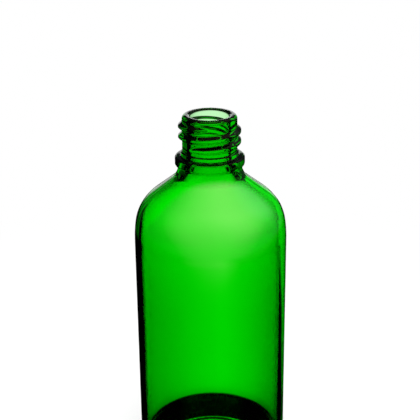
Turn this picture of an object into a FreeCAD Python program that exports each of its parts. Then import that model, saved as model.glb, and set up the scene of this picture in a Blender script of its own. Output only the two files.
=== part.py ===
import FreeCAD
import Part
import math
import os

# A screw-neck oil bottle, moulded in one piece of glass. Millimetres, +Z up.
# The origin is on the table, at the centre of the standing ring.

# Body and shoulder, outside
height = 112.2             # table to the top of the lip
body_diameter = 44.4
shoulder_angle = 38.8      # degrees between the sloping shoulder and the table
shoulder_round = 13.3      # where the body turns into the shoulder
throat_round = 7.0         # where the shoulder turns up into the neck
throat_drop = 2.4          # from the bead's underside to where the slope would meet the neck
neck_flare = 0.45          # the neck grows by this much from the bead down to the throat

# Neck finish, outside
neck_diameter = 17.9       # plain neck under the bead
root_diameter = 15.7       # between the turns of the thread
bead_diameter = 20.0
finish_height = 11.85      # top of the lip to the foot of the bead's ledge
bead_slope_height = 0.4    # fall of the ledge to the bead's rim
bead_rim_height = 2.35     # the upright rim of the bead
bead_under_height = 0.8    # the cone under the rim
bead_upper_round = 0.8
bead_lower_round = 1.0
lip_outer_round = 1.1
lip_inner_round = 0.9

# Thread on the neck, right-handed
thread_height = 1.1        # of the ridge above the root
thread_pitch = 3.0
thread_gap = 0.5           # plain root left between one turn and the next
thread_crest = 0.9         # width of the ridge along its top
thread_sunk = 0.4          # the ridge reaches this far into the neck
thread_turns = 2.12
thread_start_angle = -137.0    # degrees from +X to the lower end of the thread
thread_lip_gap = 2.55          # top of the lip down to the middle of the thread's upper end
thread_fade = 40.0             # degrees in which each end grows to full height
thread_tip = 0.15              # share of the full ridge at its very ends
thread_step = 15.0             # degrees from one cut of the ridge to the next

# Inside
bore_diameter = 11.6
body_wall = 2.0
shoulder_wall = 1.8
inner_shoulder_round = 11.5
inner_throat_round = 6.5
base_thickness = 4.4       # over the standing ring
inner_heel_round = 6.0
floor_rise = 1.0           # the floor is higher in the middle

# Heel and base
heel_round = 4.5
ring_width = 1.6           # flat ring that the bottle stands on
push_up = 1.6              # hollow under the base, at its middle

glass_density = 0.0025     # grams per cubic millimetre
nothing = 1e-6             # a run shorter than this isn't drawn
axis = FreeCAD.Vector(0, 0, 1)

body_radius = body_diameter / 2
neck_radius = neck_diameter / 2
root_radius = root_diameter / 2
bead_radius = bead_diameter / 2
bore_radius = bore_diameter / 2
inner_radius = body_radius - body_wall
slope = math.tan(math.radians(shoulder_angle))

# Heights of the corners, from the lip down
bead_top = height - finish_height
rim_top = bead_top - bead_slope_height
rim_bottom = rim_top - bead_rim_height
bead_bottom = rim_bottom - bead_under_height
throat_z = bead_bottom - throat_drop
shoulder_z = throat_z - (body_radius - neck_radius) * slope
wall_drop = shoulder_wall / math.cos(math.radians(shoulder_angle))
inner_throat_z = throat_z + (neck_radius - bore_radius) * slope - wall_drop
inner_shoulder_z = throat_z - (inner_radius - neck_radius) * slope - wall_drop


def point(r, z):
    return FreeCAD.Vector(r, 0, z)


def rounds_with_room(corners):
    # How far each round reaches along its two straight runs, kept within their length.
    points = [point(r, z) for r, z, radius in corners]
    reach = [0.0] * len(points)
    for i in range(1, len(points) - 1):
        turn = (points[i] - points[i - 1]).getAngle(points[i + 1] - points[i])
        reach[i] = corners[i][2] * math.tan(turn / 2)
    share = [1.0] * len(points)
    for i in range(len(points) - 1):
        run = points[i].distanceToPoint(points[i + 1])
        fits = min(1.0, run / max(reach[i] + reach[i + 1], run))
        share[i] = min(share[i], fits)
        share[i + 1] = min(share[i + 1], fits)
    return points, [r * s for r, s in zip(reach, share)]


def round_corner(corner, start, end):
    # The arc that leaves one run at start and joins the next at end.
    toward = (start - corner) + (end - corner)
    half_angle = (start - corner).getAngle(end - corner) / 2
    reach = corner.distanceToPoint(start)
    nearest = reach / math.cos(half_angle) - reach * math.tan(half_angle)
    return Part.Arc(start, corner + toward.normalize() * nearest, end).toShape()


def rounded_line(corners):
    # Straight runs through the corners (radius, height, round), each corner with its own round.
    points, reach = rounds_with_room(corners)
    edges = []
    last = points[0]
    for before, corner, after, length in zip(points, points[1:], points[2:], reach[1:]):
        start = corner + (before - corner).normalize() * length
        end = corner + (after - corner).normalize() * length
        if start.distanceToPoint(last) > nothing:
            edges.append(Part.LineSegment(last, start).toShape())
        if length > nothing:
            edges.append(round_corner(corner, start, end))
        last = end
    if last.distanceToPoint(points[-1]) > nothing:
        edges.append(Part.LineSegment(last, points[-1]).toShape())
    return edges


def dome(edge_radius, edge_z, middle_z):
    # An arc from the edge to the axis, level where it meets the axis.
    rise = middle_z - edge_z
    sphere = (edge_radius ** 2 + rise ** 2) / (2 * rise)
    halfway = edge_radius / 2
    drop = sphere - math.copysign(math.sqrt(sphere ** 2 - halfway ** 2), sphere)
    arc = Part.Arc(point(edge_radius, edge_z), point(halfway, middle_z - drop), point(0, middle_z))
    return arc.toShape()


def wall_section():
    # Half of the bottle cut through its axis: up the outside, over the lip and down the inside.
    ring_inner = body_radius - heel_round - ring_width
    floor_radius = inner_radius - inner_heel_round
    floor_middle = base_thickness + floor_rise
    edges = rounded_line([
        (ring_inner, 0, 0),
        (body_radius, 0, heel_round),
        (body_radius, shoulder_z, shoulder_round),
        (neck_radius + neck_flare, throat_z - neck_flare * slope, throat_round),
        (neck_radius, bead_bottom, 0),
        (bead_radius, rim_bottom, bead_lower_round),
        (bead_radius, rim_top, bead_upper_round),
        (root_radius, bead_top, 0),
        (root_radius, height, lip_outer_round),
        (bore_radius, height, lip_inner_round),
        (bore_radius, inner_throat_z, inner_throat_round),
        (inner_radius, inner_shoulder_z, inner_shoulder_round),
        (inner_radius, base_thickness, inner_heel_round),
        (floor_radius, base_thickness, 0),
    ])
    edges.append(dome(floor_radius, base_thickness, floor_middle))
    edges.append(Part.LineSegment(point(0, floor_middle), point(0, push_up)).toShape())
    edges.append(dome(ring_inner, 0, push_up))
    return Part.Face(Part.Wire(Part.__sortEdges__(edges)))


def ridge_section(angle, z, share):
    # The thread cut across: a blunt ridge whose flanks run on into the neck.
    foot = (thread_pitch - thread_gap) / 2
    crest = thread_crest / 2
    sunk_foot = foot + (foot - crest) * thread_sunk / thread_height
    lower = [(-thread_sunk, -sunk_foot), (thread_height, -crest)]
    upper = [(out, -up) for out, up in reversed(lower)]
    outline = [point(root_radius + out * share, z + up * share) for out, up in lower + upper]
    section = Part.makePolygon(outline + outline[:1])
    section.rotate(FreeCAD.Vector(0, 0, 0), axis, angle)
    return section


def thread():
    sweep = 360.0 * thread_turns
    steps = max(8, round(sweep / thread_step))
    top_z = height - thread_lip_gap
    sections = []
    for i in range(steps + 1):
        turned = sweep * i / steps
        z = top_z - thread_pitch * (sweep - turned) / 360.0
        grown = min(1.0, min(turned, sweep - turned) / thread_fade)
        share = thread_tip + (1 - thread_tip) * math.sin(grown * math.pi / 2)
        sections.append(ridge_section(thread_start_angle + turned, z, share))
    return Part.makeLoft(sections, True, False)


def glass_bottle():
    wall = wall_section().revolve(FreeCAD.Vector(0, 0, 0), axis, 360)
    return wall.fuse(thread())


os.makedirs("parts", exist_ok=True)
bottle = glass_bottle()
print("valid", bottle.isValid(), "solids", len(bottle.Solids), "faces", len(bottle.Faces))
print("glass", round(bottle.Volume * glass_density, 1), "grams")
bottle.exportStep("parts/glass_bottle.step")
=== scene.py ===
import bpy
import math
from mathutils import Matrix, Vector, noise


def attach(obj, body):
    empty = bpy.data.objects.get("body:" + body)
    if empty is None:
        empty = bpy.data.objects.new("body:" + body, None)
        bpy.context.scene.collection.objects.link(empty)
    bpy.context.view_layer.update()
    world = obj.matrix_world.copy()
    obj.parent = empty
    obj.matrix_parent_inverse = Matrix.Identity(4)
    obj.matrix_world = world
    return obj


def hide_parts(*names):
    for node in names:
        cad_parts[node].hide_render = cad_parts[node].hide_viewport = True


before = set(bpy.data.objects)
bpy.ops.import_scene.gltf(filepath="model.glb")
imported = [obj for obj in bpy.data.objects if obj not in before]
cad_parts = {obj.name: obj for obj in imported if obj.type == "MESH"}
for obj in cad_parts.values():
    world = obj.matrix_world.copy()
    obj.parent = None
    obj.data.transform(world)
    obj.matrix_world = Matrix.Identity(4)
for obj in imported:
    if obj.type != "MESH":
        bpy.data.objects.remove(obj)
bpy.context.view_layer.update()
millimetre = 0.001
print("frame loaded:", sorted(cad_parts))


# Shader maths: a Sock is one output socket, and sums on it add Math nodes
class Sock:
    def __init__(self, graph, socket):
        self.graph = graph
        self.socket = socket

    def math(self, operation, first, second):
        return self.graph.add("ShaderNodeMath", {"operation": operation}, {0: first, 1: second})

    def __add__(self, other):
        return self.math("ADD", self, other)

    def __radd__(self, other):
        return self.math("ADD", other, self)

    def __sub__(self, other):
        return self.math("SUBTRACT", self, other)

    def __rsub__(self, other):
        return self.math("SUBTRACT", other, self)

    def __mul__(self, other):
        return self.math("MULTIPLY", self, other)

    def __rmul__(self, other):
        return self.math("MULTIPLY", other, self)

    def __gt__(self, other):
        return self.math("GREATER_THAN", self, other)


class Graph:
    def __init__(self, tree):
        self.tree = tree
        tree.nodes.clear()

    def add(self, kind, settings=None, sockets=None, out=0):
        # one node: its settings first, then a value or a link for each socket
        node = self.tree.nodes.new(kind)
        for name, value in (settings or {}).items():
            if name == "stops":
                self.fillRamp(node.color_ramp, value)
            elif name == "curve":
                node.color_ramp.interpolation = value
            else:
                setattr(node, name, value)
        for name, value in (sockets or {}).items():
            if isinstance(value, Sock):
                self.tree.links.new(value.socket, node.inputs[name])
            else:
                node.inputs[name].default_value = value
        return Sock(self, node.outputs[out]) if len(node.outputs) else None

    def outputs(self, kind, names, sockets=None):
        # several outputs of one node
        made = self.add(kind, None, sockets).socket.node.outputs
        return [Sock(self, made[name]) for name in names]

    def fillRamp(self, ramp, stops):
        while len(ramp.elements) < len(stops):
            ramp.elements.new(1.0)
        for element, (place, shade) in zip(ramp.elements, stops):
            element.position = place
            element.color = (shade, shade, shade, 1.0)

    def ramp(self, value, stops, curve="EASE"):
        return self.add("ShaderNodeValToRGB", {"stops": stops, "curve": curve}, {"Fac": value})

    def mixColour(self, factor, first, second):
        colours = {0: factor, 6: first, 7: second}
        return self.add("ShaderNodeMix", {"data_type": "RGBA"}, colours, out=2)

    def mixShader(self, factor, first, second):
        return self.add("ShaderNodeMixShader", None, {0: factor, 1: first, 2: second})

    def vector(self, operation, sockets, out="Vector"):
        return self.add("ShaderNodeVectorMath", {"operation": operation}, sockets, out=out)


# The bottle's sizes in millimetres: the solid's, with a slightly fuller shoulder and a ring above the bead
bottleShape = {
    "height": 112.2, "bodyRadius": 22.2,
    "shoulderAngle": 37.8, "shoulderRound": 14.05, "shoulderEase": 4.0,
    "throatRound": 5.2, "throatDrop": 2.2, "neckFlare": 0.21, "neckRadius": 9.15, "rootRadius": 7.85,
    "beadRadius": 10.0, "finishHeight": 11.85, "beadSlope": 0.12, "beadRim": 2.43, "beadUnder": 0.8,
    "beadUpperRound": 0.6, "beadLowerRound": 1.1, "beadFootRound": 0.4,
    "collarRise": 0.4, "collarUp": (1.0, 1.5),      # the ring ends between these heights over the ledge
    "lipOuterRound": 1.1, "lipInnerRound": 0.9,
    "boreRadius": 5.45, "bodyWall": 1.75, "shoulderWall": 1.8,
    "innerShoulderRound": 11.5, "innerThroatRound": 6.5, "innerHeelRound": 6.0,
    "baseThickness": 4.4, "floorRise": 1.0, "heelRound": 4.5, "ringWidth": 1.6, "pushUp": 1.6,
    # how fine the mesh is
    "columns": 216, "arcStep": 4.0, "longRow": 3.0, "threadRow": 0.11, "threadMargin": 1.0,
    "underRows": 14, "floorRows": 12,
}

# The ridge round the neck; its foot is wider above the crest than below
threadShape = {
    "height": 1.1, "pitch": 3.0, "turns": 2.12, "startAngle": -137.0, "lipGap": 2.45,
    "lowerHalf": 1.5, "upperHalf": 1.65, "halfCrest": 0.18, "sharpness": 1.35,
    "fade": 50.0, "tipFoot": 0.35,      # each end grows over this angle, from this share of the foot's width
}

# What the mould leaves behind: two parting lines, notches under the heel, a slightly uneven wall
mouldMarks = {
    "seamAngles": (8.0, 188.0), "seamRise": 0.05, "seamHalfWidth": 0.28, "seamFoot": 1.0,
    "seamColumns": 5, "seamColumnsPerWidth": 3, "closestColumns": 0.08,
    "notches": 72, "notchDepth": 0.14, "notchBelow": 0.4, "notchBeyond": 8.0, "notchSpread": 0.8,
    "outerRipple": 0.012, "outerRippleSize": 7.0,
    "innerRipple": 0.03, "innerRippleSize": 14.0, "innerStretch": 0.6, "fineShare": 0.4, "fineScale": 2.3,
    "calmRadius": 4.0, "calmLip": 1.2, "calmFade": 3.0,      # no marks near the axis or on the lip
}


def roundedOutline(corners, arcStep):
    # corners are (radius, height, round); each round becomes a fan of short steps
    points = [Vector((r, z)) for r, z, turn in corners]
    outline = [points[0]]
    for before, corner, after, (r, z, turn) in zip(points, points[1:], points[2:], corners[1:]):
        if turn == 0:
            outline.append(corner)
            continue
        back = (before - corner).normalized()
        ahead = (after - corner).normalized()
        halfAngle = back.angle(ahead) / 2
        centre = corner + (back + ahead).normalized() * (turn / math.sin(halfAngle))
        start = corner + back * (turn / math.tan(halfAngle)) - centre
        swing = math.pi - 2 * halfAngle
        steps = max(3, math.ceil(math.degrees(swing) / arcStep))
        way = 1 if back.x * ahead.y - back.y * ahead.x < 0 else -1
        for i in range(steps + 1):
            outline.append(centre + Matrix.Rotation(way * swing * i / steps, 2) @ start)
    outline.append(points[-1])
    return outline


def domeOutline(edgeRadius, edgeZ, middleZ, steps):
    # from the middle of a shallow dome to just before its edge
    rise = middleZ - edgeZ
    sphere = (edgeRadius ** 2 + rise ** 2) / (2 * rise)
    radii = [edgeRadius * i / steps for i in range(steps)]
    return [Vector((r, middleZ - sphere + math.sqrt(sphere ** 2 - r ** 2))) for r in radii]


def turnedIn(z, joint, turn):
    # how far the wall has turned inward at one height above the joint
    return turn - math.sqrt(turn ** 2 - max(0.0, z - joint) ** 2)


def easeWall(line, radius, joint, turn, reach):
    # spreads the start of the shoulder's turn over a longer stretch, so that light shows no line there
    zone = 2 * reach
    samples = 25
    nearEnough = 0.01
    rows = [Vector((radius, joint - zone + i)) for i in range(int(zone))]      # one a millimetre
    eased = []
    for a, b in zip(line, line[1:]):
        eased.append(a)
        onWall = max(abs(a.x - radius), abs(b.x - radius)) < nearEnough / 10
        if onWall and abs(b.y - a.y) > 2 * zone:
            eased += rows if b.y > a.y else rows[::-1]
    eased.append(line[-1])
    for place in eased:
        away = place.y - joint
        if abs(away) > zone or abs(place.x - radius + turnedIn(place.y, joint, turn)) > nearEnough:
            continue
        half = reach * (1 - (away / zone) ** 2) ** 2
        heights = [place.y + half * (2 * k / (samples - 1) - 1) for k in range(samples)]
        place.x = radius - sum(turnedIn(z, joint, turn) for z in heights) / samples
    return eased


def wallOutline(s):
    # from the middle of the base, up the outside, over the lip and down to the middle of the floor
    slope = math.tan(math.radians(s["shoulderAngle"]))
    innerRadius = s["bodyRadius"] - s["bodyWall"]
    beadTop = s["height"] - s["finishHeight"]
    rimTop = beadTop - s["beadSlope"]
    rimBottom = rimTop - s["beadRim"]
    beadBottom = rimBottom - s["beadUnder"]
    throatZ = beadBottom - s["throatDrop"]
    wallDrop = s["shoulderWall"] / math.cos(math.radians(s["shoulderAngle"]))
    shoulderZ = throatZ - (s["bodyRadius"] - s["neckRadius"]) * slope
    innerThroatZ = throatZ + (s["neckRadius"] - s["boreRadius"]) * slope - wallDrop
    innerShoulderZ = throatZ - (innerRadius - s["neckRadius"]) * slope - wallDrop
    ringInner = s["bodyRadius"] - s["heelRound"] - s["ringWidth"]
    floorRadius = innerRadius - s["innerHeelRound"]
    base = s["baseThickness"]
    floorMiddle = base + s["floorRise"]
    line = domeOutline(ringInner, 0, s["pushUp"], s["underRows"])
    line += roundedOutline([
        (ringInner, 0, 0),
        (s["bodyRadius"], 0, s["heelRound"]),
        (s["bodyRadius"], shoulderZ, s["shoulderRound"]),
        (s["neckRadius"] + s["neckFlare"], throatZ - s["neckFlare"] * slope, s["throatRound"]),
        (s["neckRadius"], beadBottom, 0),
        (s["beadRadius"], rimBottom, s["beadLowerRound"]),
        (s["beadRadius"], rimTop, s["beadUpperRound"]),
        (s["rootRadius"], beadTop, s["beadFootRound"]),
        (s["rootRadius"], s["height"], s["lipOuterRound"]),
        (s["boreRadius"], s["height"], s["lipInnerRound"]),
        (s["boreRadius"], innerThroatZ, s["innerThroatRound"]),
        (innerRadius, innerShoulderZ, s["innerShoulderRound"]),
        (innerRadius, base, s["innerHeelRound"]),
        (floorRadius, base, 0),
    ], s["arcStep"])
    line += domeOutline(floorRadius, base, floorMiddle, s["floorRows"])[:0:-1]
    line.append(Vector((0, floorMiddle)))
    turnStart = math.tan(math.radians(90 - s["shoulderAngle"]) / 2)
    turns = [
        (s["bodyRadius"], shoulderZ, s["shoulderRound"]),
        (innerRadius, innerShoulderZ, s["innerShoulderRound"]),
    ]
    for radius, cornerZ, turn in turns:
        line = easeWall(line, radius, cornerZ - turn * turnStart, turn, s["shoulderEase"])
    lipIndex = max(range(len(line)), key=lambda i: line[i].y)
    return line, lipIndex, beadTop


def fillLongRuns(line, lipIndex, beadTop, s):
    # short rows where the thread is, longer ones down the straight walls
    filled = [line[0]]
    outside = [True]
    for i, (a, b) in enumerate(zip(line, line[1:])):
        onThread = i < lipIndex and min(a.y, b.y) > beadTop - s["threadMargin"]
        row = s["threadRow"] if onThread else s["longRow"]
        steps = max(1, math.ceil((b - a).length / row))
        for k in range(1, steps + 1):
            filled.append(a.lerp(b, k / steps))
            outside.append(i < lipIndex)
    return filled, outside


def columnAngles(s, m):
    # even columns, with a few more beside each parting line
    angles = {round(360.0 * i / s["columns"], 4) for i in range(s["columns"])}
    spread = math.degrees(m["seamHalfWidth"] / s["bodyRadius"])
    beside = range(-m["seamColumns"], m["seamColumns"] + 1)
    for seam in m["seamAngles"]:
        angles |= {round((seam + spread * k / m["seamColumnsPerWidth"]) % 360, 4) for k in beside}
    kept = []
    for angle in sorted(angles):
        if not kept or angle - kept[-1] > m["closestColumns"]:
            kept.append(angle)
    return [math.radians(a) for a in kept]


def smoothStep(x):
    x = min(1.0, max(0.0, x))
    return x * x * (3 - 2 * x)


def threadRise(angle, z, s, t):
    # height of the ridge over the neck at one place; the ridge passes it once every turn
    sweep = 360.0 * t["turns"]
    topZ = s["height"] - t["lipGap"]
    tallest = 0.0
    for turn in range(math.ceil(t["turns"])):
        turned = (math.degrees(angle) - t["startAngle"]) % 360 + 360.0 * turn
        if turned > sweep:
            continue
        ridgeZ = topZ - t["pitch"] * (sweep - turned) / 360.0
        share = math.sin(min(1.0, min(turned, sweep - turned) / t["fade"]) * math.pi / 2)
        crest = t["halfCrest"] * share
        half = t["upperHalf"] if z > ridgeZ else t["lowerHalf"]
        foot = half * (t["tipFoot"] + (1 - t["tipFoot"]) * share)
        away = (abs(z - ridgeZ) - crest) / (foot - crest)
        if away < 1:
            swell = 0.5 * (1 + math.cos(math.pi * max(0.0, away)))
            tallest = max(tallest, t["height"] * share * swell ** t["sharpness"])
    return tallest


def seamRise(angle, radius, m):
    rise = 0.0
    for seam in m["seamAngles"]:
        apart = (math.degrees(angle) - seam + 180) % 360 - 180
        gap = abs(math.radians(apart)) * radius / m["seamHalfWidth"]
        rise += m["seamRise"] * math.exp(-gap * gap)
    return rise


def bottlePoint(r, z, angle, outer, beadTop, s, t, m):
    # one point of the finished surface, with everything that the mould adds
    around = Vector((math.cos(angle), math.sin(angle)))
    offAxis = smoothStep(r / m["calmRadius"])
    belowLip = smoothStep((s["height"] - m["calmLip"] - z) / m["calmFade"])
    if outer:
        place = Vector((around.x * r, around.y * r, z)) / m["outerRippleSize"]
        r += m["outerRipple"] * noise.noise(place) * offAxis
        if z > beadTop:
            low, high = s["collarUp"]
            collar = smoothStep((beadTop + high - z) / (high - low))
            r += max(s["collarRise"] * collar, threadRise(angle, z, s, t))
        r += seamRise(angle, r, m) * smoothStep((z - m["seamFoot"]) / m["calmFade"]) * belowLip
        if z < m["notchBelow"] and r > m["notchBeyond"]:
            ringMiddle = s["bodyRadius"] - s["heelRound"] - s["ringWidth"] / 2
            near = math.exp(-((r - ringMiddle) / (m["notchSpread"] * s["ringWidth"])) ** 2)
            z += m["notchDepth"] * near * max(0.0, math.cos(angle * m["notches"])) ** 2
    else:
        place = Vector((around.x * r, around.y * r, z * m["innerStretch"])) / m["innerRippleSize"]
        ripple = noise.noise(place) + m["fineShare"] * noise.noise(place * m["fineScale"])
        r += m["innerRipple"] * ripple * offAxis * belowLip
    return (around.x * r * millimetre, around.y * r * millimetre, z * millimetre)


def makeBottle(s, t, m):
    line, lipIndex, beadTop = wallOutline(s)
    rows, outside = fillLongRuns(line, lipIndex, beadTop, s)
    angles = columnAngles(s, m)
    wide = len(angles)
    verts = [(0, 0, rows[0].y * millimetre)]
    for row, outer in zip(rows[1:-1], outside[1:-1]):
        verts += [bottlePoint(row.x, row.y, a, outer, beadTop, s, t, m) for a in angles]
    verts.append((0, 0, rows[-1].y * millimetre))
    last = len(verts) - 1
    faces = [(0, 1 + (j + 1) % wide, 1 + j) for j in range(wide)]
    for i in range(len(rows) - 3):
        low = 1 + i * wide
        high = low + wide
        for j in range(wide):
            k = (j + 1) % wide
            faces.append((low + j, low + k, high + k, high + j))
    edge = last - wide
    faces += [(edge + j, edge + (j + 1) % wide, last) for j in range(wide)]
    mesh = bpy.data.meshes.new("green_glass_bottle")
    mesh.from_pydata(verts, [], faces)
    mesh.polygons.foreach_set("use_smooth", [True] * len(mesh.polygons))
    mesh.update()
    inside = [0.0] + [0.0 if outer else 1.0 for outer in outside[1:-1] for a in angles] + [1.0]
    mesh.attributes.new("inside", "FLOAT", "POINT").data.foreach_set("value", inside)
    bottle = bpy.data.objects.new("green_glass_bottle", mesh)
    bpy.context.collection.objects.link(bottle)
    print("bottle:", len(rows), "rows,", wide, "columns,", len(faces), "faces")
    return bottle


# Clear green glass: heights are in millimetres, noise sizes in repeats per metre
glassLook = {
    "skin": (0.0, 1.0, 0.0, 1.0), "neckSkin": (0.0, 0.34, 0.0, 1.0),
    "bodyInside": (0.1, 0.92, 0.1, 1.0), "neckInside": (0.1, 1.0, 0.1, 1.0), "clear": (1.0, 1.0, 1.0, 1.0),
    # the lip's heights: above them the inside is left untinted, a painted highlight
    "neckFrom": (93.5, 98.0), "lipHighlightFrom": (106.8, 107.8),
    "streakTint": (0.94, 0.98, 0.94), "streakSize": 60.0, "streakDetail": 3.0,
    "roughClean": 0.0, "roughSmudge": 0.03,
    "smudgeSize": 140.0, "smudgeDetail": 6.0, "smudgeEdge": [(0.58, 0.0), (0.78, 1.0)],
    "rippleSize": 90.0, "rippleDetail": 1.0, "rippleStrength": 0.01, "rippleDepth": 0.001,
    "ior": 1.52, "specularTint": (0.12, 0.12, 0.12, 1.0),
    "absorbColour": (0.74, 0.99, 0.72, 1.0), "absorbDensity": 900.0,
    # a polish that mirrors more, up to the throat; its upper edge bows up beside the middle
    "coatFrom": (94.2, 96.0), "coatMiddle": 1.5, "coatBow": 0.033, "coatIor": 2.5, "coatRough": 0.12,
}


def heightRamp(g, z, ends):
    # 0 below the first height, 1 above the second
    return g.add("ShaderNodeMapRange", {"interpolation_type": "SMOOTHSTEP"}, {
        "Value": z, "From Min": ends[0] * millimetre, "From Max": ends[1] * millimetre,
    })


def noiseAt(g, place, scale, detail):
    return g.add("ShaderNodeTexNoise", None, {"Vector": place, "Scale": scale, "Detail": detail})


def greenGlass(look):
    material = bpy.data.materials.new("green_glass")
    material.use_nodes = True
    g = Graph(material.node_tree)
    place = g.add("ShaderNodeTexCoord", out="Object")
    x, z = g.outputs("ShaderNodeSeparateXYZ", "XZ", {0: place})
    inside = g.add("ShaderNodeAttribute", {"attribute_name": "inside"}, out="Fac")
    fromInside = g.add("ShaderNodeNewGeometry", out="Backfacing")

    # each wall tints the light once on its way in; the inside of the lip is left untinted, a painted
    # highlight for light mirrored inside the mouth, and faint streaks run through it all
    neck = heightRamp(g, z, look["neckFrom"])
    inner = g.mixColour(neck, look["bodyInside"], look["neckInside"])
    # painted highlight: the inside of the lip turns untinted above these heights
    inner = g.mixColour(heightRamp(g, z, look["lipHighlightFrom"]), inner, look["clear"])
    outer = g.mixColour(neck, look["skin"], look["neckSkin"])
    outer = g.mixColour(fromInside, outer, look["clear"])
    tint = g.mixColour(inside, outer, inner)
    streaks = noiseAt(g, place, look["streakSize"], look["streakDetail"])
    streaked = g.vector("MULTIPLY", {0: tint, 1: look["streakTint"]})
    tint = g.mixColour(streaks, tint, streaked)

    smudges = noiseAt(g, place, look["smudgeSize"], look["smudgeDetail"])
    rough = look["roughClean"] + g.ramp(smudges, look["smudgeEdge"]) * look["roughSmudge"]
    bumps = g.add("ShaderNodeBump", None, {
        "Strength": look["rippleStrength"], "Distance": look["rippleDepth"],
        "Height": noiseAt(g, place, look["rippleSize"], look["rippleDetail"]),
    })
    aside = x - look["coatMiddle"] * millimetre
    bowed = z + aside * aside * (look["coatBow"] / millimetre)
    coat = (1 - heightRamp(g, bowed, look["coatFrom"])) * (1 - inside) * (1 - fromInside)
    glass = g.add("ShaderNodeBsdfPrincipled", None, {
        "Base Color": tint, "Roughness": rough, "Normal": bumps,
        "IOR": look["ior"], "Transmission Weight": 1.0, "Specular Tint": look["specularTint"],
        "Coat Weight": coat, "Coat IOR": look["coatIor"], "Coat Roughness": look["coatRough"],
    })
    absorb = g.add("ShaderNodeVolumeAbsorption", None, {
        "Color": look["absorbColour"], "Density": look["absorbDensity"],
    })
    g.add("ShaderNodeOutputMaterial", None, {"Surface": glass, "Volume": absorb})
    print("glass:", len(g.tree.nodes), "nodes")
    return material


# What a ray meets round the bottle, by its path and its direction, as (degrees, shade).
# Heights are over the horizon. Sides are from straight behind the bottle, negative to the left.
roomLook = {
    "white": (1.0, 1.0, 1.0, 1.0), "dark": (0.0, 0.0, 0.0, 1.0), "ambient": (0.75, 0.75, 0.75, 1.0),
    # straight through the glass
    "hotAzimuth": 1.3, "hotEvery": 45.0,
    "hotFall": [(0.0, 0.93), (0.04, 0.93), (0.2, 0.73), (0.36, 0.62), (0.5, 0.63), (0.7, 0.68), (1.0, 0.7)],
    "hotBelow": [(-27.5, 1.0), (-20.0, 0.0)],
    "dimLeft": [(-16.0, 0.74), (-4.0, 1.0)],
    "tableEdge": [(-35.0, 0.0), (-30.0, 1.0)], "tableSide": [(54.0, 1.0), (70.0, 0.0)],
    "skyFade": [(10.0, 1.0), (32.0, 0.3)],
    "flagSide": [(18.0, 0.0), (26.0, 1.0), (58.0, 1.0), (74.0, 0.0)],
    "flagLevel": [(-12.0, 0.0), (-8.0, 1.0), (5.0, 1.0), (9.0, 0.0)],
    # thrown about once inside the wall; the panel's right end is given by height
    "panelLeft": [(3.0, 0.0), (12.0, 1.0)], "panelSoft": 8.0,
    "panelReach": [
        (-32.0, 20.0), (-27.0, 30.0), (-21.0, 52.0), (-15.0, 50.0), (-10.0, 46.0),
        (4.0, 40.0), (10.0, 34.0), (18.0, 30.0), (24.0, 8.0),
    ],
    "panelFront": [
        (-180.0, 0.8), (-145.0, 0.8), (-125.0, 0.0), (125.0, 0.0), (145.0, 0.8), (180.0, 0.8),
    ],
    "fringeLeft": [(-37.0, 0.0), (-30.0, 1.0)],
    "fringeLevel": [(-22.0, 0.0), (-18.0, 0.2), (-6.0, 0.3), (1.0, 0.42), (8.0, 0.35), (16.0, 0.1)],
    # thrown about more often
    "twiceRight": [(55.0, 0.0), (70.0, 0.18)], "twiceHigh": [(15.0, 0.0), (20.0, 1.0)],
    "twiceLeft": [(-125.0, 0.0), (-100.0, 0.4), (-60.0, 0.4), (-38.0, 0.0)],
    "twiceLow": [(-3.0, 0.0), (6.0, 1.0)],
    "twiceFront": [(130.0, 0.0), (150.0, 0.6)],
    "twiceBelow": [(-60.0, 0.0), (-48.0, 1.0), (-26.0, 1.0), (-20.0, 0.0)],
    # mirrored by the outside; a veil falls off with the cosine from its aim
    "haze": (0.006, 0.007, 0.008),
    "veils": [
        {"aim": (0.69, 0.41, 0.60), "colour": (0.75, 1.0, 0.9, 1.0),
         "fall": [(-0.4, 0.0), (0.2, 0.017), (0.65, 0.039), (0.8, 0.045), (0.9, 0.09), (1.0, 0.33)]},
        {"aim": (0.13, -0.72, 0.68), "colour": (1.0, 0.97, 0.55, 1.0),
         "fall": [
             (-0.1, 0.0), (0.2, 0.015), (0.45, 0.15), (0.65, 0.27), (0.8, 0.31), (0.9, 0.31), (1.0, 0.295),
         ]},
        {"aim": (0.37, -0.20, 0.91), "colour": (1.0, 0.97, 0.55, 1.0),
         "fall": [(0.2, 0.0), (0.45, 0.043), (0.65, 0.13), (0.8, 0.24), (0.9, 0.35), (1.0, 0.52)]},
    ],
    "rimLevel": 1.6, "rimBehind": [(0.925, 0.0), (0.965, 1.0)],
    "rimBand": [(-14.0, 0.0), (-11.0, 0.62), (4.0, 0.62), (9.0, 1.0), (15.5, 1.0), (17.5, 0.0)],
}


def sideLevel(degrees):
    # an angle round the bottle as a place on a 0 to 1 ramp
    return degrees / 360 + 0.5


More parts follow.
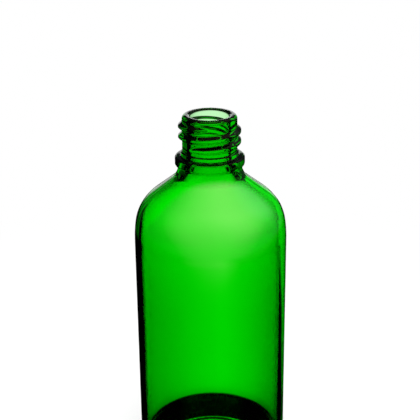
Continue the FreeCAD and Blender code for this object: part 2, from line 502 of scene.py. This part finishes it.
class Bearings:
    # where a ray goes, as values that ramps can read
    def __init__(self, g):
        self.g = g
        self.direction = g.add("ShaderNodeTexCoord", out="Generated")
        east, self.north, up = g.outputs("ShaderNodeSeparateXYZ", "XYZ", {0: self.direction})
        self.azimuth = g.add("ShaderNodeMath", {"operation": "ARCTAN2"}, {0: east, 1: self.north})
        self.across = self.azimuth * (0.5 / math.pi) + 0.5
        self.turned = g.add("ShaderNodeMath", {"operation": "ABSOLUTE"}, {0: self.azimuth}) * (1 / math.pi)
        self.level = up * 0.5 + 0.5

    def byHeight(self, stops, curve="EASE"):
        places = [((math.sin(math.radians(height)) + 1) / 2, shade) for height, shade in stops]
        return self.g.ramp(self.level, places, curve)

    def bySide(self, stops, curve="EASE"):
        return self.g.ramp(self.across, [(sideLevel(turn), shade) for turn, shade in stops], curve)

    def byEitherSide(self, stops):
        return self.g.ramp(self.turned, [(turn / 180, shade) for turn, shade in stops])

    def byAim(self, aim, stops):
        cosine = self.g.vector("DOT_PRODUCT", {0: self.direction, 1: aim}, out="Value")
        places = [((place + 1) / 2, shade) for place, shade in stops]
        return self.g.ramp(cosine * 0.5 + 0.5, places, "LINEAR")


def lightBehind(g, to, look, table, sky):
    # straight behind the glass: a lit sweep, brightest in its middle, dark close under the bottle
    hotHalf = math.radians(look["hotEvery"]) / 2
    off = to.azimuth - math.radians(look["hotAzimuth"])
    off = g.add("ShaderNodeMath", {"operation": "PINGPONG"}, {0: off, 1: hotHalf}) * (1 / hotHalf)
    spot = g.ramp(off, look["hotFall"], "B_SPLINE")
    low = to.byHeight(look["hotBelow"])
    dim = to.bySide(look["dimLeft"], "LINEAR")
    sweep = (1 - low * (1 - spot)) * (low + (1 - low) * dim)
    flags = to.byEitherSide(look["flagSide"]) * to.byHeight(look["flagLevel"])
    darkTable = (1 - table) * to.byEitherSide(look["tableSide"])
    return sweep * (1 - darkTable) * sky * (1 - flags)


def lightInWall(g, to, look, table, sky, thrownTwice):
    # thrown about inside the wall: a white panel, wider at some heights, with a faint fringe on its left
    reach = to.byHeight([(height, sideLevel(end)) for height, end in look["panelReach"]], "LINEAR")
    right = g.add("ShaderNodeMath", {"operation": "MULTIPLY_ADD", "use_clamp": True}, {
        0: reach - to.across, 1: 360 / look["panelSoft"], 2: 0.5,
    })
    panel = to.bySide(look["panelLeft"])
    fringe = to.bySide(look["fringeLeft"]) * to.byHeight(look["fringeLevel"], "LINEAR")
    front = to.bySide(look["panelFront"])
    once = ((panel + (1 - panel) * fringe) * right + front) * table * sky
    twice = to.bySide(look["twiceRight"]) * to.byHeight(look["twiceHigh"])
    twice = twice + to.bySide(look["twiceLeft"]) * to.byHeight(look["twiceLow"])
    twice = twice + to.byEitherSide(look["twiceFront"]) * to.byHeight(look["twiceBelow"])
    return once * (1 - thrownTwice) + twice * thrownTwice


def lightMirrored(g, to, look):
    # what the outside mirrors: broad soft lights high in front, and the lit wall behind
    mirrored = look["haze"]
    for light in look["veils"]:
        veil = g.mixColour(to.byAim(light["aim"], light["fall"]), look["dark"], light["colour"])
        mirrored = g.vector("ADD", {0: veil, 1: mirrored})
    rim = to.byHeight(look["rimBand"]) * look["rimLevel"] * g.ramp(to.north, look["rimBehind"])
    rimLight = g.vector("SCALE", {0: look["white"][:3], 3: rim})
    return g.vector("ADD", {0: rimLight, 1: mirrored})


def makeWorld(look):
    world = bpy.data.worlds.new("studio")
    bpy.context.scene.world = world
    world.use_nodes = True
    g = Graph(world.node_tree)
    camera, glossy, transmission, bounces = g.outputs(
        "ShaderNodeLightPath", ("Is Camera Ray", "Is Glossy Ray", "Is Transmission Ray", "Glossy Depth"),
    )
    to = Bearings(g)
    table = to.byHeight(look["tableEdge"])
    sky = to.byHeight(look["skyFade"])
    behind = g.mixColour(lightBehind(g, to, look, table, sky), look["dark"], look["white"])
    inWall = g.mixColour(lightInWall(g, to, look, table, sky, bounces > 1.5), look["dark"], look["white"])
    through = g.mixColour(bounces > 0.5, behind, inWall)
    colour = g.mixColour(glossy, look["ambient"], lightMirrored(g, to, look))
    colour = g.mixColour(transmission, colour, through)
    colour = g.mixColour(camera, colour, look["white"])
    background = g.add("ShaderNodeBackground", None, {"Color": colour, "Strength": 1.0})
    g.add("ShaderNodeOutputWorld", None, {"Surface": background})
    print("room:", len(g.tree.nodes), "nodes")


# A pale floor in metres, white further out
floorLook = {
    "halfSize": 4.0, "drop": 0.00005, "paint": (0.9, 0.9, 0.9, 1.0), "white": (1.0, 1.0, 1.0, 1.0),
    "whiteFrom": [(0.05, 0.6), (0.22, 1.0)],
    # mirrored in the glass: shade round the bottle, then a soft patch of light in front of it
    "dark": (0.0, 0.0, 0.0, 1.0), "patchColour": (0.26, 0.25, 0.14, 1.0), "shadeMiddle": (-0.02, 0.12, 0.0),
    "shadeEdge": [(0.291, 0.0), (0.32, 1.0)], "patchEnd": [(0.33, 0.0), (0.42, 1.0)],
    "patchAcross": [
        (-0.16, 0.0), (-0.083, 0.4), (-0.009, 0.7),
        (0.045, 0.95), (0.062, 0.95), (0.095, 0.55), (0.135, 0.08),
    ],
}


def paleFloor(look):
    material = bpy.data.materials.new("pale_floor")
    material.use_nodes = True
    g = Graph(material.node_tree)
    camera, glossy, transmission = g.outputs(
        "ShaderNodeLightPath", ("Is Camera Ray", "Is Glossy Ray", "Is Transmission Ray"),
    )
    place = g.add("ShaderNodeTexCoord", out="Object")
    far = g.ramp(g.vector("LENGTH", {0: place}, out="Value"), look["whiteFrom"])
    fromMiddle = g.vector("DISTANCE", {0: place, 1: look["shadeMiddle"]}, out="Value")
    east = g.add("ShaderNodeSeparateXYZ", None, {0: place}, out="X")
    patch = g.ramp(fromMiddle, look["shadeEdge"], "LINEAR")
    patch = patch * g.ramp(east + 0.5, [(x + 0.5, shade) for x, shade in look["patchAcross"]], "LINEAR")
    patchLight = g.mixColour(patch, look["dark"], look["patchColour"])
    paint = g.add("ShaderNodeBsdfDiffuse", None, {"Color": look["paint"]})
    glow = g.add("ShaderNodeEmission", None, {"Color": look["white"], "Strength": 1.0})
    clear = g.add("ShaderNodeBsdfTransparent", None, {"Color": look["white"]})
    mirrored = g.add("ShaderNodeEmission", None, {"Color": patchLight, "Strength": 1.0})
    mirrored = g.mixShader(g.ramp(fromMiddle, look["patchEnd"]), mirrored, clear)
    lit = g.mixShader(far * camera, paint, glow)
    lit = g.mixShader(glossy, lit, mirrored)
    lit = g.mixShader(transmission, lit, clear)
    g.add("ShaderNodeOutputMaterial", None, {"Surface": lit})
    return material


def makeFloor(look):
    half = look["halfSize"]
    z = -look["drop"]
    corners = [(-half, -half, z), (half, -half, z), (half, half, z), (-half, half, z)]
    mesh = bpy.data.meshes.new("floor")
    mesh.from_pydata(corners, [], [(0, 1, 2, 3)])
    mesh.materials.append(paleFloor(look))
    floor = bpy.data.objects.new("floor", mesh)
    bpy.context.collection.objects.link(floor)
    print("floor laid")


# Two soft lamps that aren't seen or mirrored themselves, in metres and watts
lampPlan = {
    "aim": (0.0, 0.0, 0.06),
    "lamps": [
        {"name": "overhead", "at": (0.05, -0.15, 0.75), "size": (0.6, 0.5), "power": 4.0},
        {"name": "front_fill", "at": (0.1, -0.7, 0.35), "size": (0.5, 0.5), "power": 3.0},
    ],
}


def makeLamps(plan):
    for lamp in plan["lamps"]:
        light = bpy.data.lights.new(lamp["name"], "AREA")
        light.shape = "RECTANGLE"
        light.size, light.size_y = lamp["size"]
        light.energy = lamp["power"]
        holder = bpy.data.objects.new(lamp["name"], light)
        holder.location = lamp["at"]
        aim = Vector(plan["aim"]) - Vector(lamp["at"])
        holder.rotation_euler = aim.to_track_quat("-Z", "Y").to_euler()
        holder.visible_camera = False
        holder.visible_glossy = False
        holder.visible_transmission = False
        bpy.context.collection.objects.link(holder)
    print("lamps:", len(plan["lamps"]))


# The viewpoint in millimetres and degrees; it looks along +Y and down
cameraPlan = {
    "x": -0.1, "distance": 281.8, "height": 193.2, "pitch": 21.3, "roll": -0.54,
    "focalPixels": 1040.0, "framePixels": 420, "sensor": 36.0, "clipStart": 5.0,
}


def makeCamera(plan):
    data = bpy.data.cameras.new("camera")
    data.sensor_width = plan["sensor"]
    data.lens = plan["sensor"] * plan["focalPixels"] / plan["framePixels"]
    data.clip_start = plan["clipStart"] * millimetre
    camera = bpy.data.objects.new("camera", data)
    tilt = Matrix.Rotation(math.radians(90 - plan["pitch"]), 4, "X")
    roll = Matrix.Rotation(math.radians(plan["roll"]), 4, "Z")
    place = Vector((plan["x"], -plan["distance"], plan["height"])) * millimetre
    camera.matrix_world = Matrix.Translation(place) @ tilt @ roll
    bpy.context.collection.objects.link(camera)
    bpy.context.scene.camera = camera
    print("camera set")


bottle = makeBottle(bottleShape, threadShape, mouldMarks)
bottle.data.materials.append(greenGlass(glassLook))
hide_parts("glass_bottle")
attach(bottle, "root")

makeWorld(roomLook)
makeFloor(floorLook)
makeLamps(lampPlan)
makeCamera(cameraPlan)
bpy.context.scene.view_settings.view_transform = "Standard"
